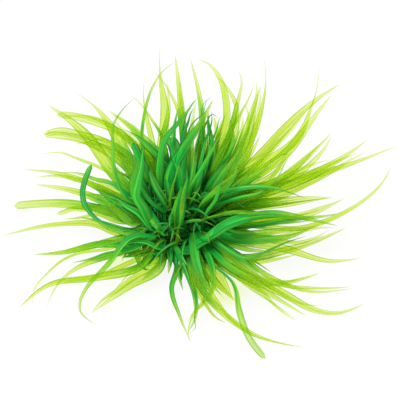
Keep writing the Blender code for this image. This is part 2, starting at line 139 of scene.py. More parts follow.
# Rows of Traced for each shoot: leaves of the photo that have no solid, and low ones at the back
MORE_LEAVES = {"back_left": (
    (8.8, 1.2, 20, (-16.5, 27, -20.5, 29.5, -25, 30.5, -28.5, 29.5, -32, 29.5)),
    (7.1, 1.1, 34, (1, 27, 0, 36.5, -1.5, 41.5, -3, 44.5, -4.5, 47, -8.5, 51.5)),
    (5.4, 1.6, 30, (-5.5, 22.5, -5, 31.5, -3.5, 38.5, -3.5, 43.5, -4, 48.5)),
    (8.8, 0.9, 41, (-10.5, 22.5, -11.5, 30, -11, 36, -10, 41, -8.5, 45.5, -4.5, 51.5, 0, 54.5)),
    (9.7, 0.9, 36, (-3.5, 24, -6, 32.5, -8.5, 36.5, -10.5, 39.5, -15.5, 44.5)),
    (11.4, 1.1, 38, (-16.5, 13.5, -19.5, 21, -20, 28.5, -20, 34.5, -18.5, 37.5, -13.5, 43), 0.2),
    (11.4, 2.1, 40, (-1.5, 20.5, -6, 25.5, -10.5, 29.5, -14, 32, -17, 33.5), 0.3),
    (8, 1.9, 16, (-12, 22.5, -18.5, 27.5, -24.5, 30.5, -30.5, 32, -36, 33, -41, 32), 0.1, True),
    (8, 1.6, 26, (-12, 27, -18.5, 33, -24.5, 36.5, -30, 37.5, -36.5, 37), -0.3),
    (7, 1.4, 18, (-12.5, 21.5, -17.5, 25.5, -21.5, 28, -26, 29.5, -32, 29), -0.4),
    (4, 2, 1.5, (-5, 12, -8, 16, -12, 18), 0.2),
    (5, 1.8, 2, (-2, 12, -4, 17, -7, 20.5), 0.1),
    (3, 1.9, 1.5, (-7, 9, -11, 13, -15, 15), 0.3),
), "left": (
    (7.1, 0.9, 18, (-18.5, 18.5, -24, 22, -27.5, 23.5, -31.5, 25, -35.5, 26.5, -42, 26), -0.3),
    (5.4, 1.5, 4, (-16.5, 12, -24, 16, -27.5, 17.5, -31.5, 18.5, -36, 19.5, -44, 19), -0.7),
    (8.8, 1.2, 14, (-16.5, 14.5, -21, 17.5, -25.5, 18.5, -29.5, 20, -37, 20.5), 0.3),
    (8.8, 1.8, 6, (-15, 6.5, -24, 9.5, -30, 10, -34, 9.5, -37, 8)),
    (7.1, 0.8, 4, (-15, 3.5, -22.5, 5.5, -26.5, 6.5, -30, 7, -34, 6.5)),
    (8, 1.2, 5, (-15, 5.5, -19.5, 7.5, -24, 8.5, -28.5, 9.5)),
    (9.7, 1.8, 9, (-13.5, 2, -19.5, 3.5, -25.5, 6)),
    (9.7, 1.2, 36, (-2.5, 13, -1.5, 18.5, 0, 24)),
    (9.7, 2.1, 18, (-12, 8, -15.5, 10, -19, 11.5)),
    (8.8, 2.1, 30, (-10.5, 13.5, -12.5, 20.5, -14, 27)),
    (8, 2.2, 20, (-11.5, 13, -13, 17, -14.5, 20.5, -16.5, 24, -19, 27.5, -21.5, 30), -0.6),
    (8, 1.5, 12, (-12, 10.5, -16.5, 13, -20.5, 15.5, -24, 17.5, -27.5, 20), -0.6),
    (7, 1.3, 5, (-12, 5.5, -19, 6, -25, 8, -30, 7, -35.5, 6.5), -0.6),
    (7, 1.2, 8, (-12, 8.5, -18, 11, -22, 13, -25, 15.5), 0.4),
    (8, 1.8, 14, (-11.5, 12, -15, 17, -17.5, 20, -19, 23), -0.4),
), "front_left": (
    (8, 0.8, 1, (-22.5, -2.5, -31.5, -4, -35.5, -6, -39, -9, -43.5, -14.5, -44, -20.5), -0.4),
    (9.7, 1.3, 2, (-15, -2.5, -19.5, -3.5, -22.5, -4, -25.5, -5, -32.5, -6.5), 0.5),
    (8.8, 0.6, 1.5, (-12.5, -8, -15, -9.5, -17.5, -12.5, -23, -18), -0.8),
    (11.4, 2.1, 2.5, (-9, 1, -12.5, -1, -12.5, -5, -11, -8, -9, -8.5)),
    (10.6, 1.8, 26, (-2, 7.5, -0.5, 12.5, 1, 17)),
    (9.7, 1.3, 16, (-6.5, 3, -2, 5.5)),
    (7, 1.8, 1.5, (-10.5, 1, -16.5, 1, -22.5, -0.5, -28.5, -2, -36, -3.5, -43.5, -4), 0.1),
    (6, 1.6, 1.5, (-6, -5, -9.5, -8, -14, -11, -18.5, -14.5, -23, -17.5, -26.5, -21.5), -0.4),
    (6, 1.2, 1.5, (-12, -5, -18.5, -8, -24.5, -10.5, -31.5, -11.5, -38.5, -12.5, -43.5, -15.5, -48, -20),
        -0.8),
), "front_right": (
    (8, 1.6, 1, (10, -10.5, 9.5, -15, 7, -18, 5, -20, 2, -25), 0.4),
    (7.1, 1.5, 1, (5, -12, 7.5, -18, 9.5, -21.5, 14, -24.5)),
    (8, 0.6, 1.5, (8, -9.5, 10, -13, 13.5, -17.5)),
    (10.6, 2.4, 5, (5, -6.5, 7, -12, 9.5, -16)),
    (8.8, 1.2, 1.5, (21, -9.5, 28.5, -14.5, 34.5, -18, 38.5, -19, 43, -19)),
    (7.1, 1.6, 5, (18, -9.5, 25.5, -12.5, 31.5, -12.5, 36, -11.5, 42, -9.5), 0.3),
    (7.1, 0.8, 1, (16.5, -10.5, 21, -14, 28.5, -19, 35, -23.5)),
    (10.6, 0.8, 9, (21, -5, 27, -2.5, 31.5, -0.5, 38, 1.5), 0.8),
    (11.4, 1.3, 24, (5, 5, 9.5, 7, 15.5, 8.5, 22.5, 8.5, 29, 8)),
    (9.7, 1.8, 32, (8, 8.5, 11, 13, 12.5, 18.5), 0.4),
    (6, 1.3, 1.5, (16.5, -8.5, 24.5, -11.5, 33, -13.5, 39.5, -14, 46, -14, 52, -13.5)),
    (6, 1.4, 1.5, (13.5, -6.5, 19.5, -11.5, 24.5, -15.2, 29, -19.7, 33, -22.7, 35.5, -24), -0.8),
    (6, 2.4, 2, (5.5, -6.5, 7.5, -10.5, 10, -13.5, 12, -16), -0.5),
    (5, 1.2, 1.5, (3, -10.5, 5.5, -16, 8.5, -20, 11, -23, 14, -24.5)),
    (5, 1.1, 1.5, (6.5, -13.5, 7, -18.5, 5, -20.5, 3.5, -23, 2.5, -26.5, 3, -30.5), 0.3),
    (5, 0.95, 1.2, (7.5, -12, 11.5, -18.5, 15.5, -23.5, 21, -27.5, 28.5, -30, 36.5, -31.5), 0.4),
    (5, 0.8, 1.5, (3.5, -9, 4.2, -12, 5, -18, 4.4, -23.5, 4.6, -26, 2.6, -27.3), 0.6),
), "right": (
    (8, 1.8, 10, (18, 2, 25.5, 2.5, 33, 3.5, 39, 4, 42.5, 5.5)),
    (8, 1.5, 12, (24, 5, 33, 6.5, 39, 7, 43.5, 7.5, 48.5, 8.5), 0.5),
    (8.8, 1.6, 18, (18, 5, 30, 7, 36, 8, 42, 10, 49, 12.5), -0.5),
    (8, 1.9, 24, (18, 11, 27, 15.5, 33, 18.5, 39, 20.5, 45, 23, 53.5, 26.5), -0.3),
    (8.8, 1.5, 28, (19.5, 12.5, 28.5, 17, 36, 21.5, 41.5, 23.5, 46, 24.5), -0.4),
    (8, 1.8, 26, (19.5, 15, 28.5, 18, 34.5, 21.5, 38.5, 25.5, 42.5, 29.5)),
    (9.7, 1.8, 32, (13.5, 18.5, 19.5, 23, 24, 25.5, 28, 27), -0.8),
    (11.4, 1.6, 34, (16.5, 15.5, 23.5, 20.5, 27.5, 24, 31, 26, 34, 25.5)),
    (9.7, 1.5, 34, (18, 12, 25.5, 15.5, 28.5, 20.5, 31, 24.5, 33.5, 29.5), -0.8),
    (11.4, 2.5, 34, (5, 8.5, 9.5, 13, 14.5, 17, 16.5, 20, 17, 23.5)),
    (8.8, 2.1, 30, (7.5, 13.5, 11.5, 20.5, 14, 24.5, 17, 30)),
    (8, 2, 24, (16.5, 13.5, 23, 17, 26.5, 19, 30, 22, 32, 24.5, 33.5, 27), -0.5),
    (8, 1.8, 26, (16.5, 13.5, 27, 16, 36, 20.5, 40, 24, 43.5, 28, 45.5, 32), -0.5),
    (9, 1.5, 30, (15, 15.5, 23.5, 23, 29, 29, 33.5, 33.5, 36, 36.5, 38, 39), -0.6),
    (7, 1.6, 10, (18, 5, 30, 6.5, 37.5, 7.5, 42, 9, 46, 11, 49.5, 13), -0.4),
    (6, 1.5, 6, (18, 2.5, 28.5, 1, 34.5, 2.5, 39, 3.5, 42.5, 4, 47, 4), -0.4),
    (7, 2, 14, (16.5, 10, 30, 13.5, 39, 17.5, 46.5, 21.5, 51.5, 24.5, 56.5, 27), -0.6),
), "back_right": (
    (9.7, 0.8, 41, (7, 30, 6.5, 38.5, 7, 41, 9.5, 43), 0.35),
    (8.8, 1.9, 32, (8, 22.5, 9, 30, 8.5, 35, 8.5, 39)),
    (8.8, 0.8, 34, (6, 27, 7.5, 34.5, 9.5, 38, 11.5, 36.5), 0.9),
    (6.3, 1.1, 24, (10.5, 22.5, 14.5, 31.5, 17.5, 37, 20, 41.5, 22.5, 47.5)),
    (10.6, 1.8, 36, (13.5, 19.5, 18.5, 28.5, 20.5, 34.5, 20.5, 38, 19, 41.5), -0.2),
    (9.7, 1.1, 36, (12, 22.5, 16, 28.5, 17.5, 33, 17.5, 37)),
    (5.4, 1.5, 16, (15.5, 18, 20, 24, 22, 27.5, 24.5, 32.5), -0.3),
    (8, 1.6, 30, (8.5, 22.5, 11, 29.5, 12.5, 34.5, 14, 38.5)),
    (9, 2, 35, (5, 16.5, 5, 22.5, 5.5, 27.5, 6.5, 33, 7.5, 37, 8, 40), -0.4),
    (8, 0.8, 38, (0.5, 30, 1, 34.5, 2, 38, 3.5, 41, 5.5, 43), 0.9),
    (9, 0.6, 38, (3, 27, 3, 34, 5, 36.5, 7, 38, 8.5, 40, 9.5, 42), 0.9),
    (8, 1.6, 30, (7.5, 16.5, 10.5, 25.5, 11, 30.5, 10.5, 34.5, 10, 38), -0.9),
    (7, 1.5, 27, (10, 18, 14.5, 25.5, 16, 30, 15.5, 34, 16, 38.5), -0.1),
    (7, 1.8, 26, (12, 19.5, 18, 26.5, 20.5, 31.5, 22, 38.5, 23, 43.5, 23, 48.5), -0.7),
    (6, 1.6, 28, (13.5, 19.5, 19, 23.5, 21.5, 30, 23, 36.5, 24, 42, 24.5, 46), -0.6),
    (7, 1.8, 27, (10, 18, 15, 24, 17, 29, 18.5, 33.5, 19, 38), -0.6),
    (8, 1.6, 30, (7, 16.5, 10, 26.5, 11.5, 31.5, 12.5, 35.5, 14, 38.5), -0.7),
    (4, 2, 1.5, (2, 12, 2, 17, 4, 21), 0.2),
    (5, 1.8, 2, (6, 12, 9, 17, 13, 20), 0.1),
    (3, 1.9, 1.5, (9, 10, 13, 14, 18, 16.5), 0.3),
), "main": (
    (10.6, 1.5, 38, (3.5, 16.5, 6.5, 21.5, 9.5, 27, 12.5, 32.5)),
    (9, 1.3, 37, (2, 27, 1.5, 33, 0.5, 41, 0, 46, -0.5, 51.5), -0.8),
    (10, 1, 30, (18, 13, 24, 14.5, 27.5, 17, 30, 20.5, 32, 25), 0.4),
    (10, 1.4, 36, (0.5, 27, 1.2, 32.4, 2.4, 35.4, 3.3, 38.4, 4.5, 40.2), 0.7),
    (10, 1.1, 36, (6.5, 25, 7.8, 30.6, 9, 33.6, 9.6, 36.6, 9.3, 39), 0.7),
    (10, 1, 34, (8.5, 25, 9.6, 30, 11.1, 33.6, 11.7, 36.3, 12.6, 37.8), 0.6),
    (10, 0.6, 38, (5.5, 30, 6.5, 35, 7.1, 38.4, 7.5, 40.5, 8.4, 42.6, 9.9, 42.9), 0.9),
)}

# Leaves of the middle, in front of the rest, drawn the same way
MIDDLE_LEAVES = {"main": (
    (13, 2.8, 34, (0, 17, -1, 19.5, -3.5, 23, -6, 25.5, -9, 28.5, -11.5, 31, -14.5, 34, -18, 36.5, -21,
        38.5)),
    (14, 3.1, 33, (1, 16.5, 0.5, 21, -1, 25.5, -2, 29, -3.5, 31), 0.7, True),
    (14, 2.8, 39, (0.5, 16.5, 0, 21.5, 0.5, 25.5, 2, 29, 4, 32.5, 6.5, 35.5, 8, 39), 0.15),
    (9, 2.3, 34, (3, 6.5, 5, 9, 7, 12, 10, 14.5, 12.5, 17, 15, 19, 17, 21.5), -0.35),
    (4, 0.9, 30, (2.5, 3.5, 5, 5, 7, 6.5, 10, 7.5, 12.5, 8, 15.5, 8.5), -0.35),
    (8, 1.1, 14, (-4, 5, -6.5, 3.5, -9, 1.5)),
    (12, 0.7, 20, (-1.5, 12.5, -3, 13.5, -5, 14.5), 0.2),
    (11, 1.2, 26, (2.5, 9.5, 3.5, 12, 5, 14.5, 6.5, 17), -0.2),
    (12, 0.7, 30, (-2, 17, -1, 20, 0, 23.5), -0.6),
    (13, 1.7, 36, (2, 18, 3, 25.5, 3.5, 33, 4, 37.5, 5, 42), -0.3),
    (13, 1.7, 36, (-0.5, 18, -2, 24, -2, 30, -1.5, 35.5, -0.5, 40), 0.3),
    (12, 1.5, 32, (3, 15, 4, 21, 4.5, 27, 5.5, 32), -0.4),
    (9, 2.4, 26, (-3, 9.5, -5, 12.5, -7, 16, -8.5, 19.5, -9.5, 23), 0.9),
    (10, 2.2, 28, (-2.5, 12, -3, 15.5, -3.5, 19.5, -4, 24, -3.5, 28), 0.8),
    (10, 2.2, 30, (1, 12, 1.5, 16.5, 1, 21, 1, 25, 2, 29.5), 0.7),
    (9, 1.9, 24, (-5, 9, -9, 12, -11, 15, -12, 18.5), 0.6),
    (10, 2.1, 28, (3, 12, 5, 16, 6, 20, 7.5, 23, 9.5, 26.5), 0.8),
), "right": (
    (11, 2.2, 33, (10.5, 15.5, 13, 20, 15.5, 24, 17.5, 27), -0.2),
    (9, 3.1, 28, (11, 12.5, 14.5, 14, 18, 16, 21, 18, 24.5, 19.5), 0.15),
    (8, 1.5, 20, (10.5, 13.5, 18, 17, 23.5, 19.5, 27.5, 22, 30.5, 25), -0.4),
    (7, 1.5, 8, (13.5, 9, 23.5, 10, 33, 11, 42, 12.5, 45.5, 13), -0.4),
    (6, 1.1, 5, (18, 4, 25.5, 5, 33, 5.5, 39.5, 6), 0.5),
    (6, 1.3, 6, (21, 1, 30, 0, 35, -0.5, 40.5, 1, 45, 3.5), -0.4),
    (8, 2.2, 20, (6, 8.5, 9.5, 11, 13, 12.5, 17, 15, 21, 17), 0.5),
), "back_right": (
    (12, 1.5, 36, (7, 18, 9, 23, 10, 27, 9.5, 30.5, 8.5, 34.5, 8.5, 38.5), 0.8),
    (12, 1.7, 34, (5.5, 18, 6.5, 22.5, 7.5, 27.5, 7, 32.5, 7, 36.5, 6.5, 39.5), -0.3),
    (10, 0.9, 40, (3, 14.5, 5, 19, 7.5, 23, 10, 27, 12.5, 30.5, 15, 34), -0.6),
    (11, 1.7, 33, (8, 18, 10, 24, 11, 30, 11, 34.5, 10, 38), -0.7),
    (9, 1.7, 26, (10.5, 18, 13, 24, 15.5, 30, 17.5, 35.5, 19, 40.5), -0.5),
    (9, 1.7, 33, (5, 15, 7, 19.5, 8.5, 24, 9.5, 28.5, 9, 33.5, 8, 38), 0.6),
    (9, 1.5, 30, (6, 15, 8.5, 18.5, 10, 22.5, 12.5, 27, 15.5, 30.5), 0.3),
), "back_left": (
    (12, 1.5, 33, (-6, 18.5, -7.5, 22.5, -9.5, 26, -11, 29, -13, 31, -16, 32.5), -0.6),
    (12, 1.9, 32, (-6.5, 14.5, -9, 18.5, -11, 23, -13, 27, -14, 29.5), 0.6, True),
    (11, 1.9, 26, (-6, 21, -9.5, 25.5, -13.5, 29.5, -17, 33, -20, 36.5), -0.5),
    (10, 1.7, 22, (-9, 19.5, -12.5, 22.5, -16, 24.5, -19, 27, -22.5, 29), -0.4),
), "left": (
    (10, 2.2, 12, (-12, 6, -14.5, 5.5, -17.5, 8, -20.5, 10.5, -23.5, 13), -0.15),
    (8, 1.4, 6, (-12, 7.5, -16.5, 11, -20, 13, -24, 15, -28.5, 17), 0.4),
    (6, 1.1, 3, (-18, 9.5, -24, 10, -28.5, 9.5, -32.5, 9.5, -35.5, 8.5, -37, 8), 0, True),
    (9, 1.2, 16, (-15, 21.5, -20.5, 26.5, -25.5, 29, -30, 29), -0.5),
    (6, 1.8, 6, (-6.5, 0, -9.5, -2, -12.5, -3, -16, -4, -20.5, -4.5), -0.4),
    (7, 1.6, 8, (-6, 2.5, -9.5, 1, -13, -1, -15.5, -3, -17.5, -6), 0.5),
), "front_left": (
    (8, 2.4, 33, (-7, 3, -9, 6, -11, 10, -13, 13.5, -12.5, 17, -11.5, 21.5, -11, 26.5, -10.5, 29.5), 0.4),
    (9.5, 2.1, 20, (-9, 4.5, -12.5, 8.5, -16, 10.5, -19, 13), 0.5),
    (8, 1.1, 10, (-6, 0, -8.5, 1, -11, 1.5, -14.5, 1.5, -17, 0, -18.5, -2.5, -20.5, -5.5, -22, -7.5), -0.5),
    (8, 1.4, 12, (-6.5, -2, -9.5, -0.5, -12.5, 0, -15.5, -0.5, -18, -2, -19, -4), 0.4),
    (10, 0.7, 12, (-6, 2.5, -9, 3.5, -12, 4, -14, 3.5), -0.3),
    (8, 0.4, 18, (-4.5, 0, -6, 1, -7, 3.5, -8, 5), -0.7),
    (5, 1.3, 2, (-2.5, -2, -1.5, -5, -1, -8.5, -1, -12), 0.4),
    (4, 2.9, 22, (-0.5, -2.5, 3, -2.5, 6, -0.5, 8.5, 1, 11.5, 3.5, 14.5, 5.5, 17.5, 7, 21, 8, 24.5, 8.5, 27,
        8.5), 0.5),
    (3.5, 2.6, 1.5, (-3, -3.5, -6, -5, -9.5, -6.5, -14, -8.5, -18, -10), -0.8),
    (4, 1.5, 1.5, (-2.5, -3.5, -3, -6.5, -3.5, -10), -0.6),
    (4, 1.4, 1.5, (-3.5, -4, -6, -6.5, -9, -9.5, -12.5, -13), -0.5),
    (4, 1.5, 1.5, (-2, -4, -1, -7.5, 0, -11.5, 1, -15), 0.1),
    (6, 1.9, 3, (-6, -3, -9.5, -3.5, -13, -4, -17.5, -5), 0.3),
    (3.5, 2, 33, (-1, -1, -0.5, 3.5, 0.5, 8.5, 1, 13, 2, 19), -0.5),
    (4, 1.3, 31, (-2, 0.5, -1.5, 5.5, -1.5, 9.5, -1, 13, 1, 17), -0.8),
    (5, 1.2, 3, (-6, -1.5, -8.5, -2, -10, -4, -11, -6.5, -10, -9), 0.6),
    (5, 1.4, 2, (-6, -2, -9, -3.5, -12, -3.5, -15.5, -3.5, -18.5, -2), 0.5),
), "front_right": (
    (8, 2.9, 8, (7, 0.5, 10, -0.5, 13.5, -2.5, 17, -5, 21, -8, 24.5, -11), 0.2),
    (6, 2.1, 4, (3, -4.5, 5.5, -7, 8.5, -10, 11.5, -13, 15, -17), -0.3),
    (5, 2.3, 3, (3, -5.5, 5, -8, 7.5, -11, 9.5, -15), 0.5),
    (4, 2.8, 1.5, (7.5, -5, 9.5, -6.5, 12, -10.5, 14.5, -15, 16, -18), -0.9),
    (7, 1.5, 4, (10.5, 0, 15, -1, 20, -2.5, 24.5, -3, 28.5, -3.5), -0.2),
    (6, 1.4, 3, (13.5, -3, 19, -5, 23.5, -6, 28.5, -5.5, 33, -4.5, 35.5, -4), -0.6),
    (5, 0.9, 2, (16.5, -6.5, 21.5, -9.5, 27, -11.5, 32, -12, 36.5, -11, 42, -9.5), -0.6),
    (6, 2.2, 3, (7.5, -2.5, 12, -4.5, 17, -8, 23, -11.5, 28.5, -15.5), -0.4),
)}

# Packed leaves that end bluntly, that are thin up to their middle, and that have a very long point, and
# how much darker (above 0) or more yellow (below 0) than others each one is
BLUNT = ("left_leaf_5", "back_left_leaf_3", "back_left_leaf_4", "front_right_leaf_7", "front_left_leaf_1")
THIN_BELOW = ("front_right_leaf_7", "front_left_leaf_1")
WHISKERED = ("back_left_leaf_1", "right_leaf_2", "right_leaf_3", "back_left_leaf_2", "left_leaf_1")
TONES = {
    "main": {2: 0.2, 4: 0.75},
    "right": {2: -0.3, 3: -0.3, 4: -0.4, 5: -0.3, 6: -0.3, 9: 0.5},
    "back_right": {2: -0.3, 3: -0.6, 4: 0.5, 5: -0.4},
    "back_left": {1: -0.5, 2: -0.3, 4: 0.1},
    "left": {4: 0.35, 5: 0.5, 6: -0.5, 7: -0.6, 8: 0.15},
    "front_left": {1: 0.75, 2: 0.3, 3: -0.1, 4: 0.15, 5: 0.3, 6: -0.5, 7: 0.62, 8: 0.6, 9: 0.2},
    "front_right": {1: 0.5, 2: -0.3, 4: 0.1, 5: -0.2, 6: -0.4, 7: 0.6, 8: -0.6, 10: 0.5},
}
SHOOTS = ("main", "right", "back_right", "back_left", "left", "front_left", "front_right")


# Settings


def colour_setting(name, description, *channels):
    """A colour that the user may change."""
    return bpy.props.FloatVectorProperty(name=name, description=description, default=(*channels, 1),
                                         subtype="COLOR", size=4, min=0, max=1)


class BladeForm(bpy.types.PropertyGroup):
    """The form that every blade shares."""

    thickness: bpy.props.FloatProperty(
        name="Thickness", description="Blade thickness at its middle, in metres", default=0.26 * MM,
        min=0.0001, unit="LENGTH")
    channel: bpy.props.FloatProperty(
        name="Channel", description="How far the edges rise over the middle, as a share of the half width",
        default=0.22, min=0, max=1)
    wrap: bpy.props.FloatProperty(
        name="Wrap at the base", description="How much more the edges rise where the blade clasps its shoot",
        default=0.7, min=0, max=2)
    ruffle: bpy.props.FloatProperty(
        name="Ruffle", description="How far the edges wave up and down, as a share of the half width",
        default=0.14, min=0, max=1)
    fullness: bpy.props.FloatProperty(
        name="Fullness", description="Width of a blade, as a share of its solid's or its drawn width",
        default=1.32, min=0.5, max=2)
    tilt: bpy.props.FloatProperty(
        name="Tilt to the front", description="How far blades that lie sideways turn their face to the front",
        default=math.radians(26), subtype="ANGLE")
    row_spacing: bpy.props.FloatProperty(
        name="Row spacing", description="Distance between the rows of points along a blade, in metres",
        default=1.15 * MM, min=0.0002, unit="LENGTH")


class LeafGreens(bpy.types.PropertyGroup):
    """The greens of the clump."""

    inner: colour_setting("Inner green", "Leaf colour close to the crown", 0.015, 0.70, 0.064)
    outer: colour_setting("Outer green", "Leaf colour away from the crown", 0.65, 0.82, 0.045)
    light: colour_setting("Light green", "Colour of the pale streaks close to the crown", 0.27, 0.84, 0.07)
    tip: colour_setting("Tip green", "Leaf colour at the points", 0.68, 0.82, 0.16)
    vein: colour_setting("Vein green", "Colour of the veins, the edges and the darker half", 0.04, 0.34, 0.03)
    deep: colour_setting("Deep green", "Colour of the darker, bluer leaves", 0.005, 0.34, 0.052)
    dark: colour_setting("Dark vein green", "Colour of the veins close to the crown", 0.003, 0.15, 0.026)
    # Painted shade: the green that leaves low down near the crown are darkened towards
    painted_shade: colour_setting("Low green", "Leaf colour down inside the clump", 0.006, 0.26, 0.026)
    shoot: colour_setting("Shoot green", "Colour of the shoots", 0.06, 0.22, 0.03)


class InnerLeaves(bpy.types.PropertyGroup):
    """The short leaves that fill the middle of the clump."""

    for_each_shoot: bpy.props.IntProperty(
        name="Leaves for each shoot", description="How many short leaves each shoot carries",
        default=28, min=1)
    seed: bpy.props.IntProperty(
        name="Seed", description="Picks another growth of the same clump", default=7)
    shortest: bpy.props.FloatProperty(
        name="Shortest", description="Length of the shortest broad one, in metres", default=9 * MM,
        unit="LENGTH")
    longest: bpy.props.FloatProperty(
        name="Longest", description="Length of the longest broad one, in metres", default=15 * MM,
        unit="LENGTH")


class StudioStage(bpy.types.PropertyGroup):
    """Floor, light and camera."""

    floor_size: bpy.props.FloatProperty(
        name="Floor size", description="Side of the floor, in metres", default=6.0, unit="LENGTH")
    floor_colour: colour_setting("Floor colour", "Colour of the floor", 0.72, 0.72, 0.72)
    floor_white: bpy.props.FloatProperty(
        name="White share", description="How much of the floor's look is plain white and takes no shadow",
        default=0.88, min=0, max=1)
    sky_light: bpy.props.FloatProperty(
        name="Sky light", description="Strength of the even light from all round", default=1.02, min=0)
    key_power: bpy.props.FloatProperty(
        name="Key light", description="Power of the large lamp above, in watts", default=11.0, min=0)
    picture_width: bpy.props.FloatProperty(
        name="Picture width", description="Width of what the camera sees, in metres", default=0.12,
        unit="LENGTH")
    distance: bpy.props.FloatProperty(
        name="Camera distance", description="From the camera to the clump, in metres", default=4.0,
        unit="LENGTH")


# Shader sums


class Wire:
    """An output of a shader node. A sum on it adds a Math node, so that formulas read as they are written."""

    def __init__(self, bench, socket):
        self.bench = bench
        self.socket = socket

    def _sum(self, operation, *values):
        return self.bench.node("Math", values, operation=operation)

    def __add__(self, other):
        return self._sum("ADD", self, other)

    def __mul__(self, other):
        return self._sum("MULTIPLY", self, other)

    def __sub__(self, other):
        return self._sum("SUBTRACT", self, other)

    def __rsub__(self, other):
        return self._sum("SUBTRACT", other, self)

    __radd__ = __add__
    __rmul__ = __mul__

    def size(self):
        return self._sum("ABSOLUTE", self)

    def ramp(self, low, high):
        """0 below low, 1 above high, and a smooth rise between them."""
        return self.bench.node("MapRange", {"Value": self, "From Min": low, "From Max": high},
                               interpolation_type="SMOOTHSTEP")


class Bench:
    """The node tree of a new material or of the sky."""

    def __init__(self, owner):
        self.owner = owner
        owner.use_nodes = True
        self.tree = owner.node_tree
        self.tree.nodes.clear()

    def node(self, kind, values=(), output=0, **settings):
        """Adds a shader node of a type, applies its settings, then fills its sockets by place or by name."""
        made = self.tree.nodes.new("ShaderNode" + kind)
        for key, value in settings.items():
            setattr(made, key, value)
        for key, value in (values.items() if isinstance(values, dict) else enumerate(values)):
            if isinstance(value, Wire):
                self.tree.links.new(value.socket, made.inputs[key])
            else:
                made.inputs[key].default_value = value
        return Wire(self, made.outputs[output]) if len(made.outputs) else None

    def blend(self, share, first, second):
        """The first colour where the share is 0 and the second where it is 1.

        The Mix node has its colours at sockets 6 and 7, and gives the blend at output 2."""
        return self.node("Mix", {0: share, 6: first, 7: second}, 2, data_type="RGBA")

    def mix(self, share, first, second):
        """The first shader where the share is 0 and the second where it is 1."""
        return self.node("MixShader", (share, first, second))

    def noise(self, place, scale, detail):
        """Noise between 0 and 1, mostly near a half."""
        return self.node("TexNoise", {"Vector": place, "Scale": scale, "Detail": detail})

    def distance(self, place, spot):
        return self.node("VectorMath", (place, spot), "Value", operation="DISTANCE")

    def parts(self, vector):
        """The three numbers of a vector."""
        split = self.node("SeparateXYZ", (vector,))
        return [Wire(self, socket) for socket in split.socket.node.outputs]

    def finish(self, surface, output="OutputMaterial"):
        self.node(output, {"Surface": surface})
        return self.owner


def leaf_material(name, greens, look):
    """Emerald near the crown, lime further out and paler at the point, with veins along the blade.

    The blade attribute holds the place across from edge to edge (-1 to 1), the share of the length, and
    the distance along in centimetres. A tone above 0 makes a leaf darker, and below 0 more yellow. Streaks
    are noise drawn out along the blade. One half of the blade is darker, and what lies low in the crown
    is darkened by painted shade. Light comes through, more of it far from the crown, and a share of what
    lies behind shows."""
    bench = Bench(bpy.data.materials.new(name))
    blade = bench.node("Attribute", output="Vector", attribute_name="blade")
    tone = bench.node("Attribute", output="Fac", attribute_name="tone")
    across, along, distance = bench.parts(blade)
    place = bench.node("TexCoord", output="Object")
    height = bench.parts(place)[2]
    squat = bench.node("VectorMath", (place, (1, 1, SQUAT)), operation="MULTIPLY")
    from_crown = bench.distance(squat, CROWN)
    mottle = bench.noise(place, 160, 3)
    streak_place = bench.node("CombineXYZ", (across * 1.5, distance * 0.30, tone * 37))
    streaks = bench.noise(streak_place, 1.6, 3)
    fine_streaks = bench.noise(streak_place, 3.2, 2)
    outward = from_crown + (mottle - 0.5) * 0.014 + (streaks - 0.5) * 0.010 - tone * 0.018
    outward = outward.ramp(14 * MM, 34 * MM)
    to_tip = (along + (streaks - 0.5) * 0.25).ramp(0.50, 1.02)
    edge = (across.size() + (mottle - 0.5) * 0.1).ramp(0.72, 0.96)
    midrib = 1 - across.size().ramp(0.03, 0.18)
    pale = streaks.ramp(0.49, 0.62)
    lines = fine_streaks.ramp(0.48, 0.58) * 0.35 + (1 - streaks.ramp(0.42, 0.50)) * 0.65

    green = bench.blend(outward, getattr(greens, look["near"]), greens.outer)
    green = bench.blend(to_tip * outward * 0.8 + pale * outward * 0.3, green, greens.tip)
    green = bench.blend((tone * -1).ramp(0.1, 1.1) * 0.75, green, greens.outer)
    green = bench.blend(tone.ramp(0.25, 1.0) * 0.85, green, greens.deep)
    # Painted shade: low down near the crown the green is darkened towards the low green, as shade inside the
    # clump
    low = (1 - height.ramp(2 * MM, 14 * MM)) * (1 - from_crown.ramp(8 * MM, 19 * MM))
    green = bench.blend(low * 0.55, green, greens.painted_shade)
    streak = bench.blend(outward, greens.light, greens.outer)
    vein = bench.blend(outward, greens.dark, greens.vein)
    green = bench.blend(pale * (0.80 - outward * 0.42), green, streak)
    veins = lines * (0.80 - outward * 0.30) + edge * (0.66 - outward * 0.18) + midrib * 0.28
    green = bench.blend(veins, green, vein)
    one_side = (across + (streaks - 0.5) * 1.2).ramp(-0.15, 0.15)
    green = bench.blend(one_side * (0.50 - outward * 0.38), green, vein)

    relief = fine_streaks * 0.5 + streaks * 0.5 - midrib * 0.6
    bump = bench.node("Bump", {"Strength": 0.4, "Distance": 0.1 * MM, "Height": relief})
    skin = bench.node("BsdfPrincipled", {
        "Base Color": green, "Roughness": 0.28 + mottle * 0.24, "Specular IOR Level": 0.12, "Normal": bump})
    glowing = bench.node("BsdfTranslucent", {"Color": look["glow"]})
    share = (look["glow_near"] + outward * (look["glow_far"] - look["glow_near"])
             - (edge * 0.12 + midrib * 0.10 + lines * 0.12))
    leaf = bench.mix(share, skin, glowing)
    deep, clear, clearer = (bench.node("BsdfTransparent", {"Color": look[kind]})
                            for kind in ("through_deep", "through", "through_pale"))
    clear = bench.mix(outward * (1 - tone.ramp(0.3, 0.9)), deep, clear)
    clear = bench.mix(to_tip * 0.55 + pale * outward * 0.35 - edge * 0.3, clear, clearer)
    opening = (look["open_near"] + outward * (look["open_far"] - look["open_near"]) + to_tip * 0.12
               - (edge * 0.36 + midrib * 0.10 + lines * 0.20 + tone.ramp(0.0, 1.0) * 0.25))
    return bench.finish(bench.mix(opening, leaf, clear))


